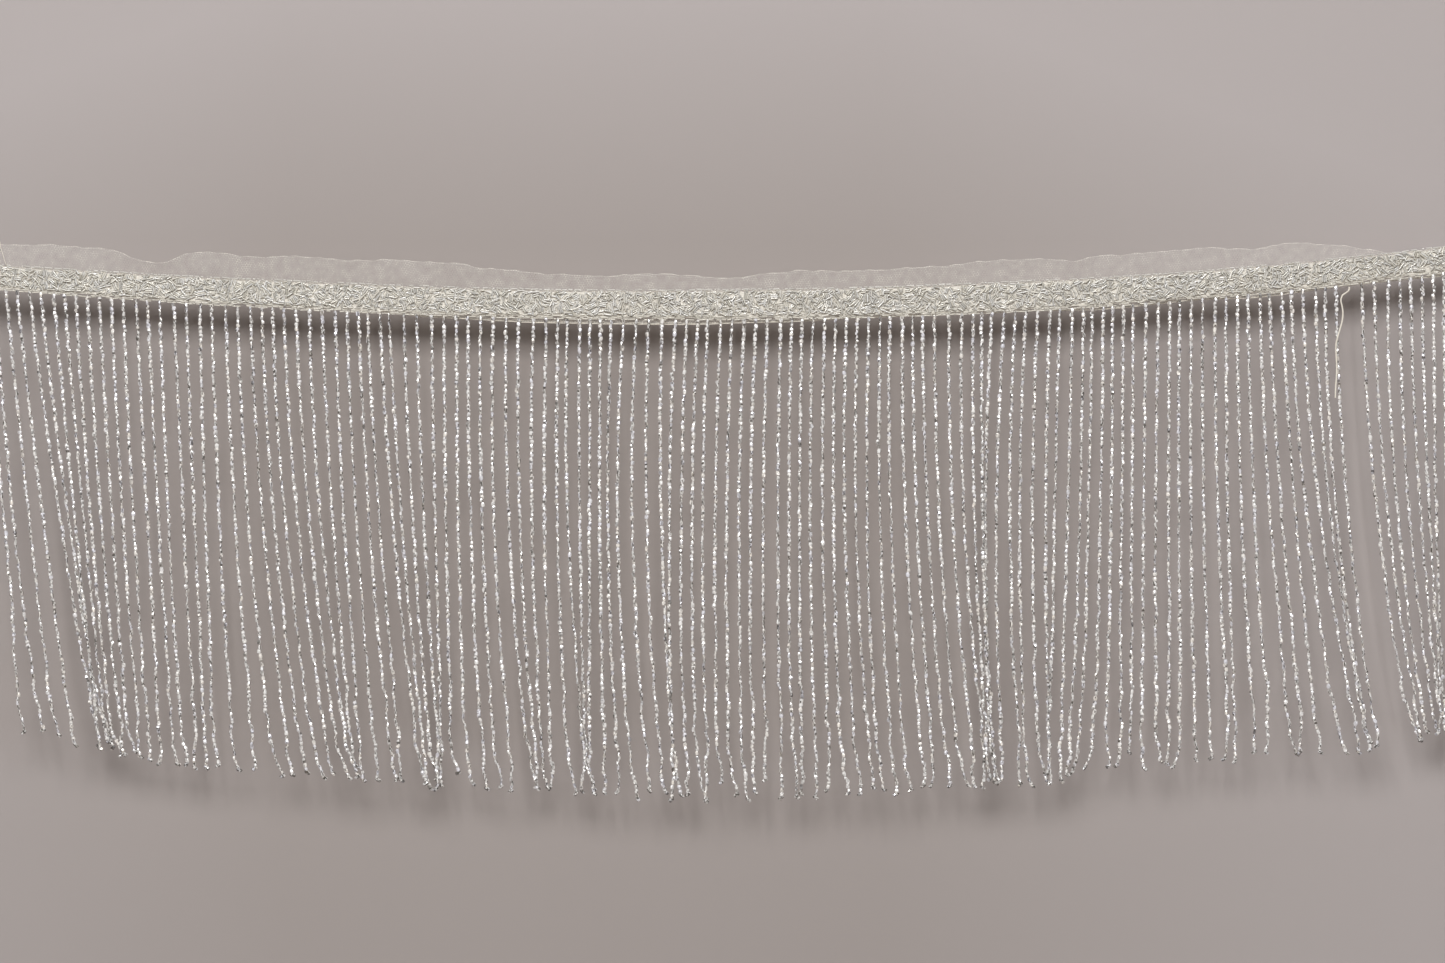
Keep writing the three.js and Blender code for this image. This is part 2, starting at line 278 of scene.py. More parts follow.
# The net
# One strip of fine nylon net carries all the beads. It is folded round at the bottom, where the
# fold shows as a hem, and its front leaf stands up behind the band to a cut edge left raw.
net_back = 0.0005
net_front = 0.0019
net_columns = 400
front_rows = 18
back_rows = 8
fold_rows = 6
fold_radius = 0.0007
fold_rise = 0.0002             # the fold lies this far above the solid's
fold_pucker = 0.00015          # the sewing draws the fold up by this much
hem_pucker = 0.0001
bend_below = 0.002             # the front leaf stands free from this far below the band's top
lean_curve = 1.5               # it leans slowly at first, then more
edge_ripple = 0.0002
edge_roll = 0.0009             # the cut edge rolls over backwards by this much
roll_least = 0.6
edge_turns = (0.7, 1.5, 2.3)   # how far round each row of the roll lies
flutter = 0.0005               # ripples of the free edge, which die away a little at the edge
flutter_loss = 0.4
ripple_lengths = (0.011, 0.017, 0.029)
pucker_lengths = (0.0061, 0.013)
hole_pitch = 0.0013
mesh_turn = 0.5                # the mesh runs askew to the strip
hole_brim = (-1.3, -0.7)       # where the pattern's waves pass from a thread to a hole
mesh_cover = (0.95, 0.01)      # how much a thread hides, and a hole
strain_cover = (0.4, 1.15)     # the strip is thinner where it is drawn open
hem_cover = 0.08               # the hem is denser, being drawn together by the sewing, and painted lighter
hem_reach = 0.001
fold_cover = 0.35
edge_cover = 0.7
touching = 1e-5                # corners closer than this lie on one line
rng = np.random.default_rng(7)

band_low = np.array([corners[:, 2].min() for x, corners in band_sections])
band_high = np.array([corners[:, 2].max() for x, corners in band_sections])
net_sections = [corners for x, corners in stations("net_strip")]
cut_edge = np.array([corners[:, 2].max() for corners in net_sections])
hem_fold = np.array([corners[:, 2].min() for corners in net_sections])
leaf_end = np.array([
    corners[corners[:, 1] > corners[:, 1].max() - touching][:, 2].max() for corners in net_sections
])
edge_depth = np.array([
    -corners[corners[:, 2] > corners[:, 2].max() - touching][:, 1].mean() for corners in net_sections
])


def ripple(x, lengths, draws):
    """Slow uneven ripples along the trim, about -1 to 1."""
    parts = [np.sin(2 * math.pi * x / length + draws.uniform(0, 7)) for length in lengths]
    return sum(parts) / math.sqrt(len(lengths))


net_x = np.linspace(places[0], places[-1], net_columns)
ripples = ripple(net_x, ripple_lengths, rng)
puckers = ripple(net_x, pucker_lengths, rng)
net_wave = line_at(wave, net_x)
net_fold = line_at(hem_fold, net_x) + fold_rise + fold_pucker * puckers
net_top = line_at(cut_edge, net_x) + edge_ripple * ripples
net_bend = line_at(band_high, net_x) - bend_below
net_end = line_at(leaf_end, net_x)
top_depth = line_at(edge_depth, net_x) - net_wave
hem_top = net_fold + fold_radius
rows = []
for part in np.linspace(0, 1, back_rows):
    rows.append((net_back + 0 * net_x, net_end + (hem_top - net_end) * part))
for turn in np.linspace(0, math.pi, fold_rows)[1:-1]:
    depth = net_back + fold_radius * (1 - math.cos(turn))
    rows.append((depth + 0 * net_x, net_fold + fold_radius * (1 - math.sin(turn))))
first_front = len(rows)
for part in np.linspace(0, 1, back_rows):
    rows.append((net_front + hem_pucker * puckers * part, hem_top + (net_bend - hem_top) * part))
first_free = len(rows)
for part in np.linspace(0, 1, front_rows)[1:]:
    lean = (top_depth - net_front) * part ** lean_curve
    lean = lean + flutter * ripples * part * (1 - flutter_loss * part)
    rows.append((net_front + lean, net_bend + (net_top - net_bend) * part))
free_depth = rows[-1][0]
roll = edge_roll * (roll_least + (1 - roll_least) * puckers)
for turn in edge_turns:
    depth = free_depth - roll * (1 - math.cos(turn)) / 2
    rows.append((depth, net_top + roll * math.sin(turn) / 2))
net_points = np.array([
    np.column_stack([net_x, -(depth + net_wave), z]) for depth, z in rows
]).transpose(1, 0, 2)
across_net = len(rows)
net_faces = [
    (here, here + across_net, here + across_net + 1, here + 1)
    for column in range(net_columns - 1)
    for here in range(column * across_net, (column + 1) * across_net - 1)
]
steps = np.linalg.norm(np.diff(net_points, axis=1), axis=2)
net_reach = np.concatenate([np.zeros((net_columns, 1)), np.cumsum(steps, axis=1)], axis=1)
gathered_and_painted_light = np.zeros((net_columns, across_net))
hem_below = line_at(band_low, net_x)[:, None] + hem_reach
gathered_and_painted_light[:, :first_free] = (net_points[:, :first_free, 2] < hem_below) * hem_cover
gathered_and_painted_light[:, back_rows:first_front] = fold_cover
gathered_and_painted_light[:, -len(edge_turns):] = edge_cover

net_finish = Finish("fine_net")
net_place = net_finish.node("UVMap", {"uv_map": "cloth"})
net_parts = net_finish.node("SeparateXYZ", {}, {"Vector": net_place})
along_net = net_parts.part("X")
up_net = net_parts.part("Y")
wave_number = 2 * math.pi / (hole_pitch * math.sqrt(3) / 2)
holes = 0
for third in range(3):
    angle = mesh_turn + third * 2 * math.pi / 3
    across = wave_number * math.cos(angle) * along_net + wave_number * math.sin(angle) * up_net
    holes = holes + across.cosine()
mesh_threads = net_finish.ramp(holes, *hole_brim, *mesh_cover)
strain = net_finish.ramp(net_finish.noise(260.0, 2.0), 0.3, 0.7, *strain_cover)
drawn_and_painted_light = net_finish.node("Attribute", {"attribute_name": "gathered_and_painted_light"}, output=2)
nylon = net_finish.mix(net_finish.noise(60.0), colour(206, 202, 194), colour(222, 218, 211))
# Where the net is gathered, at the hem, the fold and the cut edge, it is denser and also painted lighter:
# painted light.
net_finish.surface({
    "Base Color": net_finish.mix(drawn_and_painted_light, nylon, colour(228, 223, 211)),
    "Roughness": 0.55,
    "Sheen Weight": 0.2,
    "Alpha": net_finish.ramp(mesh_threads * strain + drawn_and_painted_light, 0.0, 1.0),
})
net_piece = add_piece(
    "folded_net", net_points.reshape(-1, 3), net_faces, net_finish, "net_strip"
)
cloth_map = net_piece.data.uv_layers.new(name="cloth")
flat_x = np.repeat(net_x - net_x[0], across_net)
flat_y = net_reach.reshape(-1)
corners = np.zeros(len(net_piece.data.loops), int)
net_piece.data.loops.foreach_get("vertex_index", corners)
cloth_map.data.foreach_set("uv", np.column_stack([flat_x[corners], flat_y[corners]]).reshape(-1))
density = net_piece.data.attributes.new("gathered_and_painted_light", "FLOAT", "POINT")
density.data.foreach_set("value", gathered_and_painted_light.reshape(-1))
net_piece.data.shade_smooth()

# The sewn ground of the band
# Under the bugles lies a bed of sewing thread, drawn to and fro through the net.
# It fills the gaps between the beads and gives the band its body.
ground_back = 0.00275
ground_front = 0.0039
ground_crown = 0.0001          # the ground's middle stands this much prouder
ground_round = 0.0002          # and its edges are rounded off by this much
ground_lumps = 0.00012
ground_end = 0.0002
ground_inset = 0.0006          # how far inside the band's edges the ground stops
ground_top_inset = 0.0015
ground_columns = 420
ground_x = np.linspace(places[0] + ground_end, places[-1] - ground_end, ground_columns)
ground_low = line_at(band_low, ground_x) + ground_inset
ground_high = line_at(band_high, ground_x) - ground_top_inset
ground_wave = line_at(wave, ground_x)
ground_section = [             # depth, share of the ground's height
    (ground_front - ground_round, 0.0),
    (ground_front, 0.04),
    (ground_front + ground_crown, 0.35),
    (ground_front + ground_crown, 0.65),
    (ground_front, 0.96),
    (ground_front - ground_round, 1.0),
    (ground_back, 1.0),
    (ground_back, 0.66),
    (ground_back, 0.33),
    (ground_back, 0.0),
]
ground_sides = len(ground_section)
ground_points = []
for depth, part in ground_section:
    front = depth + 0 * ground_x
    if depth > ground_back:
        front = depth + ground_lumps * rng.uniform(-1, 1, ground_columns)
    height = ground_low + (ground_high - ground_low) * part
    ground_points.append(np.column_stack([ground_x, -(front + ground_wave), height]))
ground_points = np.array(ground_points).transpose(1, 0, 2).reshape(-1, 3)
ground_faces = []
for column in range(ground_columns - 1):
    for side in range(ground_sides):
        here = column * ground_sides + side
        beside = column * ground_sides + (side + 1) % ground_sides
        ground_faces.append((here, here + ground_sides, beside + ground_sides, beside))
ground_faces.append(range(ground_sides))
last_ring = (ground_columns - 1) * ground_sides
ground_faces.append(range(last_ring + ground_sides - 1, last_ring - 1, -1))

ground_finish = Finish("sewn_ground")
stretched = ground_finish.node(
    "Mapping", {}, {"Vector": ground_finish.place(), "Scale": (900.0, 900.0, 3200.0)}
)
threads = ground_finish.noise(1.0, 3.0, stretched)
ground_finish.surface({
    "Base Color": ground_finish.mix(threads, colour(202, 197, 187), colour(236, 231, 221)),
    "Roughness": 0.4,
    "Normal": ground_finish.bump(threads, 0.0002),
})
add_piece("sewn_ground", ground_points, ground_faces, ground_finish, "bead_band")

# The bugle beads of the band
# Short tubes of ivory glass are sewn on one by one in every direction, two or three deep, with
# small groups lying side by side. Each is a cut tube with a bore through which it is sewn.
bugle_diameter = 0.00084
bugle_lengths = (0.0018, 0.004)
bugle_sides = 6
bugle_bore = (0.45, 0.25)      # width of the rim and depth of the bore, for a radius of 1
bugle_evenness = (0.92, 1.06)
bugle_crisp = 62               # facets that meet at more degrees than this stay crisp
band_end = 0.0025              # the scattered bugles stop this far from the trim's cut ends
edge_row = 0.0006              # and this far inside the band's top edge
above_low = (2.5, 1.5, 1.5)    # how many times as far inside its lower edge each layer stops
layer_depth = 0.0042
layer_step = 0.0005
layer_scatter = 0.00012
bugle_tries = (10000, 9000, 2200)
group_most = 3                 # bugles that lie side by side
group_turn = 0.09              # how far a group's members turn from each other
group_step = 1.06              # and how far apart they lie, in diameters
spill = 0.9                    # share of a bugle that has to lie inside the band's edges
bugle_marks = 5                # places along a bugle where its distance to others is tested
mark_reach = 0.42
mark_gap = 0.93                # least distance between two bugles of a layer, in diameters
mark_window = 0.007
bugle_lift = 0.13              # how far a bugle may point out of the band
bugle_brightness = (0.55, 0.19)
bugle_dullness = 0.7
bugle_painted_facet_light = 0.1
painted_top_shade = 0.4                # painted shade darkens the uppermost bugles, which are also made duller
painted_top_shade_reach = 0.0016
rng = np.random.default_rng(23)


def bead_form(sides, taper=1, rim=0, deep=0):
    """One bead, two across and two long, with a waist to its tapered ends or a bore in them."""
    bpy.ops.object.select_all(action="DESELECT")
    bpy.ops.mesh.primitive_cylinder_add(vertices=sides, radius=1, depth=2)
    made = bpy.context.object
    bpy.ops.object.mode_set(mode="EDIT")
    if taper < 1:
        bpy.ops.mesh.bisect(plane_co=(0, 0, 0), plane_no=(0, 0, 1))
    for end in (-1, 1):
        bpy.ops.mesh.select_mode(type="FACE")
        bpy.ops.mesh.select_all(action="DESELECT")
        form = bmesh.from_edit_mesh(made.data)
        for face in form.faces:
            face.select_set(face.normal.z * end > 0.9)
        bmesh.update_edit_mesh(made.data)
        if taper < 1:
            bpy.ops.transform.resize(value=(taper, taper, 1))
        if rim:
            bpy.ops.mesh.inset(thickness=rim)
            bpy.ops.transform.translate(value=(0, 0, -deep * end))
    bpy.ops.object.mode_set(mode="OBJECT")
    points = np.array([vertex.co for vertex in made.data.vertices])
    faces = [list(face.vertices) for face in made.data.polygons]
    bpy.data.objects.remove(made)
    return points, faces


def strung(form, centres, ahead, spin, widths, lengths):
    """Copies of one bead, each at its own place, turned and sized."""
    points, faces = form
    up = np.where(np.abs(ahead[:, 2:]) > 0.8, [[1.0, 0, 0]], [[0, 0, 1.0]])
    side = np.cross(ahead, up)
    side /= np.linalg.norm(side, axis=1)[:, None]
    front = np.cross(side, ahead)
    across = side * np.cos(spin)[:, None] + front * np.sin(spin)[:, None]
    away = np.cross(ahead, across)
    scaled = points[None] * np.stack([widths / 2, widths / 2, lengths / 2], axis=1)[:, None]
    placed = (
        centres[:, None]
        + scaled[:, :, :1] * across[:, None]
        + scaled[:, :, 1:2] * away[:, None]
        + scaled[:, :, 2:] * ahead[:, None]
    )
    shift = len(points)
    all_faces = [
        [corner + copy * shift for corner in face]
        for copy in range(len(centres))
        for face in faces
    ]
    return placed.reshape(-1, 3), all_faces


def paint(piece, looks, faces_each, draws, facet_share):
    """Gives each bead its look, and each of its facets some painted light of its own, brighter or darker
    at random.

    A look's red is how bright the glass is, its green how warm, and its blue how dull a bugle
    is, or how see-through a strand bead."""
    each_face = np.repeat(looks, faces_each, axis=0)
    facets = draws.uniform(-1, 1, len(each_face)) * facet_share
    each_face[:, 0] = np.clip(each_face[:, 0] + facets, 0, 1)
    layer = piece.data.attributes.new("bead_look", "FLOAT_COLOR", "FACE")
    layer.data.foreach_set("color", each_face.reshape(-1))


def sharpen(piece, degrees):
    """Smooth over the ground rims, crisp along the facets."""
    bpy.ops.object.select_all(action="DESELECT")
    piece.select_set(True)
    bpy.context.view_layer.objects.active = piece
    bpy.ops.object.shade_smooth_by_angle(angle=math.radians(degrees))


def half_height(long, tilt):
    """Half the height that a tilted bugle takes up in the band."""
    return long / 2 * abs(math.sin(tilt)) + bugle_diameter / 2 * abs(math.cos(tilt))


def scatter_bugles(tries, clear_below):
    """One layer of bugles that keep clear of each other: place, height, tilt and length."""
    members = []
    taken = np.zeros((0, bugle_marks, 2))
    along = np.linspace(-mark_reach, mark_reach, bugle_marks)[:, None]
    for attempt in range(tries):
        x = rng.uniform(places[0] + band_end, places[-1] - band_end)
        long = rng.uniform(*bugle_lengths)
        tilt = rng.uniform(0, math.pi)
        group = rng.integers(1, group_most + 1)
        low = np.interp(x, places, band_low) + edge_row * clear_below
        high = np.interp(x, places, band_high) - edge_row
        half = half_height(long, tilt)
        z = rng.uniform(low + half, max(high - half, low + half + touching))
        for member in range(group):
            turned = tilt + rng.uniform(-group_turn, group_turn)
            shift = member * bugle_diameter * group_step
            middle = np.array([x - math.sin(tilt) * shift, z + math.cos(tilt) * shift])
            half = half_height(long, turned)
            if not low + half * spill < middle[1] < high - half * spill:
                continue
            if not places[0] + band_end < middle[0] < places[-1] - band_end:
                continue
            way = np.array([math.cos(turned), math.sin(turned)])
            marks = middle + along * long * way
            near = taken[np.abs(taken[:, bugle_marks // 2, 0] - middle[0]) < mark_window]
            if len(near):
                gaps = np.linalg.norm(near[:, :, None] - marks[None, None], axis=3)
                if gaps.min() < bugle_diameter * mark_gap:
                    continue
            taken = np.concatenate([taken, marks[None]])
            members.append((middle[0], middle[1], turned, long))
    return np.array(members)


bugle_finish = Finish("ivory_bugle_glass")
look = bugle_finish.node("Attribute", {"attribute_name": "bead_look"})
look_parts = bugle_finish.node("SeparateColor", {}, {"Color": look})
dull = look_parts.part("Blue")
glass = bugle_finish.mix(look_parts.part("Red"), colour(174, 172, 166), colour(235, 234, 231))
warm = bugle_finish.mix(look_parts.part("Green"), colour(252, 252, 253), colour(255, 251, 242))
bugle_finish.surface({
    "Base Color": bugle_finish.mix(1.0, glass, warm, "MULTIPLY"),
    "Metallic": 0.15,
    "Roughness": bugle_finish.ramp(dull, 0.0, 1.0, 0.28, 0.5),
    "IOR": 1.52,
    "Coat Weight": bugle_finish.ramp(dull, 0.0, 1.0, 1.0, 0.1),
    "Coat Roughness": 0.05,
})

bugle_form = bead_form(bugle_sides, 1, *bugle_bore)
band_layers = [scatter_bugles(*row) for row in zip(bugle_tries, above_low)]
for layer, bugles in enumerate(band_layers):
    x, z, tilt, long = bugles.T
    count = len(bugles)
    lift = rng.uniform(-bugle_lift, bugle_lift, count)
    depth = layer_depth + layer * layer_step + rng.uniform(-layer_scatter, layer_scatter, count)
    centres = np.column_stack([x, -(depth + np.interp(x, places, wave)), z])
    ahead = np.column_stack([
        np.cos(tilt) * np.cos(lift), np.sin(lift), np.sin(tilt) * np.cos(lift)
    ])
    widths = bugle_diameter * rng.uniform(*bugle_evenness, count)
    spin = rng.uniform(0, 2 * math.pi, count)
    points, faces = strung(bugle_form, centres, ahead, spin, widths, long)
    laid = add_piece(
        f"band_bugles_{layer + 1}", points, faces, bugle_finish, "bead_band"
    )
    # Painted shade: the bugles just under the band's top edge are painted darker, and made duller.
    below_edge = np.interp(x, places, band_high) - z
    painted_shade_at_top = painted_top_shade * np.clip(1 - (below_edge - edge_row) / painted_top_shade_reach, 0, 1)
    looks = np.column_stack([
        np.clip(rng.normal(*bugle_brightness, count) - painted_shade_at_top, 0, 1),
        rng.uniform(0, 1, count),
        np.clip(rng.uniform(0, bugle_dullness, count) + painted_shade_at_top, 0, 1),
        np.ones(count),
    ])
    paint(laid, looks, len(bugle_form[1]), rng, bugle_painted_facet_light)
    sharpen(laid, bugle_crisp)

# The bugle rows along the band's edges
# Bugles threaded end to end close the band: one row along the top, and five along the bottom,
# which hide the roots of the strands. The lower rows are a warmer ivory.
row_thickness = 0.0007
row_evenness = (0.92, 1.08)
row_filled = 0.8               # some have come off, or sit under the scattered ones
row_sway = 0.00015             # how far a bugle strays from its row
row_lean = 0.05                # and how far it turns from it
row_lift = 0.08
row_start = 0.0004
row_end = 0.005
row_gaps = (0.6, 2.2)          # shares of the row's own gap
row_scatter = 0.12
row_dullness = (0.6, 1)
row_painted_facet_light = 0.08
seed_length = 0.35             # a seed bead is this share of a bugle's length
row_table = (                  # edge, how far inside, depth, warmth, brightness, seed share, gap
    # The top row is painted darker: painted shade against the light that falls on it from above.
    (band_high, -0.0004, 0.0035, 0.3, 0.35, 0.3, 0.0006),
    (band_low, -0.0005, 0.0037, 0.95, 0.5, 0.15, 0.0002),
    (band_low, 0.0002, 0.0040, 0.9, 0.4, 0.15, 0.0002),
    (band_low, 0.0009, 0.0041, 0.9, 0.45, 0.2, 0.0003),
    (band_low, 0.0016, 0.0042, 0.8, 0.5, 0.3, 0.0004),
    (band_low, 0.0024, 0.0042, 0.7, 0.5, 0.3, 0.0009),
)
row_beads = []
for edge, inside, depth, warmth, bright, seeds, gap in row_table:
    x = places[0] + row_start
    while x < places[-1] - row_end:
        long = rng.uniform(*bugle_lengths) * rng.choice([seed_length, 1.0], p=[seeds, 1 - seeds])
        sway = rng.uniform(-row_sway, row_sway)
        if rng.uniform() < row_filled:
            row_beads.append(
                (x + long / 2, inside + sway, depth, long, warmth, bright, edge is band_low)
            )
        x += long + gap * rng.uniform(*row_gaps)
row_x, row_inside, row_depth, row_long, row_warmth, row_bright, row_low = np.array(row_beads).T
row_edge = np.where(row_low > 0.5, line_at(band_low, row_x), line_at(band_high, row_x))
row_count = len(row_x)
slope = np.interp(row_x, places, np.gradient(band_low, places))
slope = slope + rng.normal(0, row_lean, row_count)
row_ahead = np.column_stack([
    np.ones(row_count), rng.uniform(-row_lift, row_lift, row_count), slope
])
row_ahead /= np.linalg.norm(row_ahead, axis=1)[:, None]
row_points, row_faces = strung(
    bugle_form,
    np.column_stack([row_x, -(row_depth + line_at(wave, row_x)), row_edge + row_inside]),
    row_ahead,
    rng.uniform(0, 2 * math.pi, row_count),
    row_thickness * rng.uniform(*row_evenness, row_count),
    row_long,
)
edge_rows = add_piece(
    "edge_row_bugles", row_points, row_faces, bugle_finish, "bead_band"
)
row_looks = np.column_stack([
    np.clip(row_bright + rng.normal(0, row_scatter, row_count), 0, 1),
    row_warmth,
    rng.uniform(*row_dullness, row_count),
    np.ones(row_count),
])
paint(edge_rows, row_looks, len(bugle_form[1]), rng, row_painted_facet_light)
sharpen(edge_rows, bugle_crisp)

# The strands of cut glass beads
# Each strand is a doubled white thread through about 105 small eight-sided beads of clear glass,
# of uneven width, each widest at its waist. The thread turns round the last beads, which lie
# crosswise as a foot.
bead_pitch = (0.00175, 0.00235)
bead_widths = (0.0013, 0.0022)
bead_evenness = (0.88, 1.12)
bead_gap = 0.00016
bead_sides = 8
bead_taper = 0.72              # the ends are narrower than the waist
bead_crisp = 30
bead_lean = 0.15               # how far a bead turns on its thread, and strays from it
bead_stray = 0.00017
painted_facet_light = 0.75
width_change = 0.3             # how often a strand goes over to another width
wide_root = 0.5                # near the root the beads are all at least this wide
wide_loss = 1.5                # and a third of the way down any width comes
bright_least = 0.56
painted_light_by_end = 0.09           # painted light makes the lower beads brighter, and the wide ones are brighter too
bright_by_width = 0.25
bright_scatter = 0.1
clear_most = 0.95
clear_by_width = 0.75          # the wide beads are less see-through
clear_scatter = 0.25
core_radius = 0.0002
core_every = 4                 # of the strand's steps, for each ring of its thread
strand_steps = 160
strand_groups = 4
strand_head = 0.0003           # bare thread before the first bead and after the last
strand_tail = 0.001
root_rise = 0.0011             # how far a strand starts up behind the lowest rows
root_hold = 30                 # the first thirtieth of a strand hangs straight
wiggle_at_root = 0.00005
wiggle_at_end = 0.0006
wiggle_lengths = (0.014, 0.023, 0.037)
wiggle_growth = 3
end_bend = 0.0035              # how far the last beads of a strand may swing aside
bend_ways = (-0.7, 1)
bend_from = 0.9
foot_beads = 2
foot_aside = (0.4, 1)          # how a foot points, sideways, backward or forward, and down
foot_forward = (-0.4, 0.4)
foot_down = -0.55
foot_widths = (0.0017, 0.0022)
foot_length = 0.0017
foot_step = 0.0011
foot_drop = 0.0014
foot_bright = 0.4
foot_clear = (0.5, 1)
ends_below = -0.15             # every rod of the fringe ends below this height
root_reach = 0.0025            # and its root starts this far below the band's edge
level = 1e-6                   # corners closer in height than this lie in one ring
rng = np.random.default_rng(115)


def beside(corner):
    """The corners that share an edge with this one."""
    return [edge.other_vert(corner) for edge in corner.link_edges]


def strand_lines():
    """Every strand's knots from root to end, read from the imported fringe's rods."""
    rods = bmesh.new()
    rods.from_mesh(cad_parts["bead_fringe"].data)
    bmesh.ops.remove_doubles(rods, verts=rods.verts, dist=level)
    lines = []
    seen = set()
    for start in rods.verts:
        lowest = min(corner.co.z for corner in beside(start)) >= start.co.z - level
        if start in seen or start.co.z > ends_below or not lowest:
            continue
        ring = {start}
        for step in range(2):  # the far corner of a rod's square end is two edges away
            ring |= {
                next_one for corner in ring for next_one in beside(corner)
                if abs(next_one.co.z - start.co.z) < level
            }
        seen |= ring
        line = []
        while ring:
            middle = np.mean(sorted(tuple(corner.co) for corner in ring), axis=0)
            line.append(middle)
            if middle[2] > np.interp(middle[0], places, band_low) - root_reach:
                break
            ring = {
                next_one for corner in ring for next_one in beside(corner)
                if next_one.co.z > corner.co.z + level
            }
        line.reverse()
        lines.append(np.array(line))
    rods.free()
    return sorted(lines, key=lambda line: line[0][0])


def string_beads(line, reach, ahead):
    """A strand's beads: centre, way, width, length, brightness, tint and clearness."""
    members = []
    at = strand_head
    width_share = rng.uniform(0, 1)
    while at < reach[-1] - strand_tail:
        if rng.uniform() < width_change:
            width_share = rng.uniform(max(0, wide_root - wide_loss * at / reach[-1]), 1)
        length = rng.uniform(*bead_pitch)
        width = bead_widths[0] + (bead_widths[1] - bead_widths[0]) * width_share
        width *= rng.uniform(*bead_evenness)
        middle = at + length / 2
        centre = np.array([np.interp(middle, reach, line[:, axis]) for axis in range(3)])
        way = np.array([np.interp(middle, reach, ahead[:, axis]) for axis in range(3)])
        way += rng.normal(0, bead_lean, 3)
        centre += rng.normal(0, bead_stray, 3)
        bright = bright_least + painted_light_by_end * at / reach[-1] + bright_by_width * width_share
        bright += rng.normal(0, bright_scatter)
        clear = clear_most - clear_by_width * width_share + rng.normal(0, clear_scatter)
        members.append((*centre, *way, width, length, bright, rng.uniform(), clear))
        at += length + bead_gap
    foot = np.array(members[-1][:3]) + ahead[-1] * foot_drop
    aside = rng.choice([-1, 1]) * rng.uniform(*foot_aside)
    way = np.array([aside, rng.uniform(*foot_forward), foot_down])
    way /= np.linalg.norm(way)
    for step in range(foot_beads):
        centre = foot + way * foot_step * step
        width = rng.uniform(*foot_widths)
        tint = rng.uniform()
        clear = rng.uniform(*foot_clear)
        members.append((*centre, *way, width, foot_length, foot_bright, tint, clear))
    return members


bead_finish = Finish("clear_cut_glass")
look = bead_finish.node("Attribute", {"attribute_name": "bead_look"})
look_parts = bead_finish.node("SeparateColor", {}, {"Color": look})
tint = look_parts.part("Green")
# The glass's brightness is partly its own tone and partly painted reflection and refraction, from dark
# grey to white.
glass = bead_finish.mix(look_parts.part("Red"), colour(104, 100, 96), colour(255, 255, 255))
cool = bead_finish.mix(bead_finish.ramp(tint, 0.0, 0.35), colour(247, 247, 255), colour(255, 254, 252))
faint = bead_finish.mix(bead_finish.ramp(tint, 0.7, 1.0), cool, colour(255, 250, 243))
bead_finish.surface({
    "Base Color": bead_finish.mix(1.0, glass, faint, "MULTIPLY"),
    "Metallic": 0.2,
    "Roughness": 0.25,
    "IOR": 1.52,
    "Coat Weight": 1.0,
    "Coat Roughness": 0.07,
    "Alpha": bead_finish.ramp(look_parts.part("Blue"), 0.5, 1.0, 1.0, 0.75),
})
core_finish = Finish("white_bead_thread")
core_finish.surface({
    "Base Color": core_finish.mix(core_finish.noise(900.0), colour(222, 221, 219), colour(240, 239, 237)),
    "Roughness": 0.5,
})

bead = bead_form(bead_sides, bead_taper)
strands = strand_lines()
core_points = []
core_faces = []
group_beads = [[] for group in range(strand_groups)]
for number, knots in enumerate(strands):
    upward = (knots[0] - knots[1]) / np.linalg.norm(knots[0] - knots[1])
    line = spaced(np.vstack([knots[0] + upward * root_rise, knots[1:]]), strand_steps)
    share = np.linspace(0, 1, len(line))
    long = np.linalg.norm(np.diff(line, axis=0), axis=1).sum()
    size = wiggle_at_root + (wiggle_at_end - wiggle_at_root) * share ** wiggle_growth
    size = size * np.minimum(1, share * root_hold)
    swing = np.clip((share - bend_from) / (1 - bend_from), 0, 1) ** 2
    line[:, 0] += end_bend * rng.uniform(*bend_ways) * swing
    line[:, 0] += size * ripple(share * long, wiggle_lengths, rng)
    line[:, 1] += size * ripple(share * long, wiggle_lengths, rng)
    reach = np.concatenate([[0], np.cumsum(np.linalg.norm(np.diff(line, axis=0), axis=1))])
    members = string_beads(line, reach, directions(line)[0])
    group_beads[number * strand_groups // len(strands)].extend(members)
    core_line = line[::core_every]
    radii = np.full((len(core_line), 4), core_radius)
    points, faces = tube(core_line, radii, 4, sum(len(part) for part in core_points))
    core_points.append(points)
    core_faces.extend(faces)

for group, members in enumerate(group_beads):
    beads = np.array(members)
    ways = beads[:, 3:6] / np.linalg.norm(beads[:, 3:6], axis=1)[:, None]
    spin = rng.uniform(0, 2 * math.pi, len(beads))
    points, faces = strung(bead, beads[:, :3], ways, spin, beads[:, 6], beads[:, 7])
    piece = add_piece(
        f"strand_beads_{group + 1}", points, faces, bead_finish, "bead_fringe"
    )
    looks = np.column_stack([np.clip(beads[:, 8:11], 0, 1), np.ones(len(beads))])
    paint(piece, looks, len(bead[1]), rng, painted_facet_light)
    sharpen(piece, bead_crisp)
add_piece(
    "strand_threads", np.vstack(core_points), core_faces, core_finish, "bead_fringe"
)

